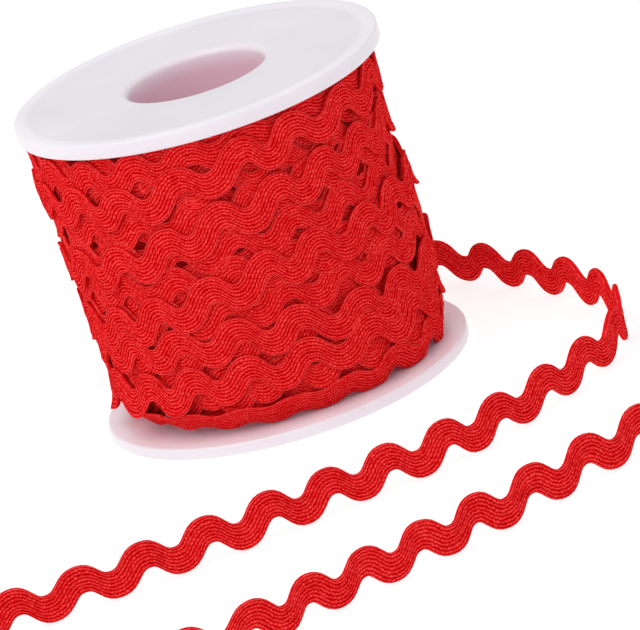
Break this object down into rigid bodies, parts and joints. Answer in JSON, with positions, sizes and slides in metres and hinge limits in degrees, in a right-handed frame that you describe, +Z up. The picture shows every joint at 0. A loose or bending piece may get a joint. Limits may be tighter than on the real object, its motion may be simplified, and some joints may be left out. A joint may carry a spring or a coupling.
{
  "type": "roll of ric rac on a plastic spool",
  "caption": "Upright plastic spool with flat rimmed flanges and an open bore, wound full of red wavy ric rac trim, with a loose end lying on the surface.",
  "frame": {"origin": "on the surface under the middle of the spool, where the spool's axis meets the plane it stands on", "axes": "+Z up along the spool's axis; +X to the right and +Y away as seen from the front, where the loose end lies"},
  "size_m": [0.1385, 0.1587, 0.056],
  "materials": {
    "spool_plastic": "moulded, slightly translucent, soft sheen",
    "woven_trim": "closely woven polyester with fine raised ribs"
  },
  "bodies": {
    "root": {"spool": "spool_plastic", "winding": "woven_trim", "tail": "woven_trim"}
  },
  "joints": []
}
